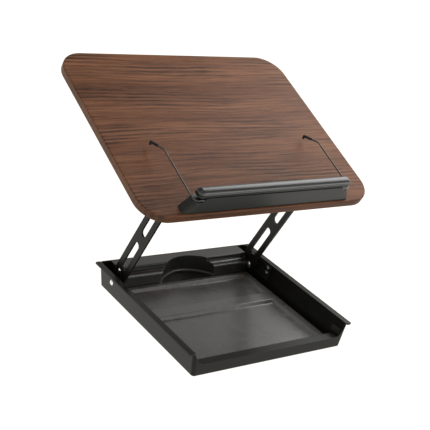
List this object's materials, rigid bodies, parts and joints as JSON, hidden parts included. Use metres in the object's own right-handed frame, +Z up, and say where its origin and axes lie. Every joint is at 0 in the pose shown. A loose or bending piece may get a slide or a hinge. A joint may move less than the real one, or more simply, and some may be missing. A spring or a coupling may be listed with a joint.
{
  "type": "book stand with storage tray",
  "caption": "Folding reading stand: a tilting wooden board with a ledge and wire page clips, held by two slotted arms over an open metal storage tray with a moulded liner.",
  "frame": {"origin": "on the table, at the centre of the tray's floor", "axes": "+X to the reader's right, +Y away from the reader, +Z up"},
  "size_m": [0.4, 0.3725, 0.3239],
  "materials": {
    "walnut": "satin walnut veneer, grain across the board",
    "tray_paint": "fine charcoal powder coat",
    "arm_paint": "satin charcoal paint",
    "dark_steel": "black oxide, satin",
    "insert_plastic": "fine matt moulding",
    "block_plastic": "satin moulding",
    "ledge_plastic": "satin moulding",
    "cap_plastic": "glossy moulding",
    "washer_plastic": "nylon",
    "rubber": "matt rubber",
    "steel": "plain bright steel",
    "chrome": "polished"
  },
  "bodies": {
    "base": {"tray_shell": "tray_paint", "front_rail": "tray_paint", "floor_insert": "insert_plastic", "rear_block": "block_plastic", "grip_mat": "rubber", "corner_blocks": "rubber", "left_hinge_bracket": "dark_steel", "left_bracket_screws": "steel", "left_pivot_pin": "chrome", "left_pivot_sleeve": "steel", "left_pivot_washers": "washer_plastic", "right_hinge_bracket": "dark_steel", "right_bracket_screws": "steel", "right_pivot_pin": "chrome", "right_pivot_sleeve": "steel", "right_pivot_washers": "washer_plastic"},
    "arms": {"left_arm": "arm_paint", "right_arm": "arm_paint", "left_hinge_leaf": "arm_paint", "right_hinge_leaf": "arm_paint", "arm_rivets": "chrome"},
    "hinge_shaft": {"cross_rod": "steel", "rod_nuts": "steel", "rod_washers": "washer_plastic"},
    "reading_board": {"board": "walnut", "left_board_bracket": "dark_steel", "right_board_bracket": "dark_steel", "board_bracket_screws": "steel", "lid_pads": "rubber", "ledge_body": "ledge_plastic", "ledge_cap": "cap_plastic", "ledge_screws": "steel"},
    "left_page_clip": {"left_clip_wire": "steel", "left_clip_tip": "rubber"},
    "right_page_clip": {"right_clip_wire": "steel", "right_clip_tip": "rubber"}
  },
  "joints": [
    {"name": "arm_fold", "type": "hinge", "parent": "base", "child": "arms", "pos_m": [0, 0.092, 0.0257], "axis": [-1, 0, 0], "range_deg": [-65.3, 20]},
    {"name": "shaft_turn", "type": "hinge", "parent": "arms", "child": "hinge_shaft", "pos_m": [0, 0.02246, 0.2128], "axis": [1, 0, 0], "range_deg": [-88, 27.5]},
    {"name": "board_tilt", "type": "hinge", "parent": "hinge_shaft", "child": "reading_board", "pos_m": [0, 0.02246, 0.2128], "axis": [1, 0, 0], "range_deg": [0, 28.5]},
    {"name": "left_clip_swing", "type": "hinge", "parent": "reading_board", "child": "left_page_clip", "pos_m": [0, -0.05903, 0.22705], "axis": [1, 0, 0], "range_deg": [-1.9, 110]},
    {"name": "right_clip_swing", "type": "hinge", "parent": "reading_board", "child": "right_page_clip", "pos_m": [0, -0.05903, 0.22705], "axis": [1, 0, 0], "range_deg": [-1.9, 110]}
  ],
  "couplings": [
    {"joint": "shaft_turn", "follows": "arm_fold", "ratio": 1.3377}
  ]
}
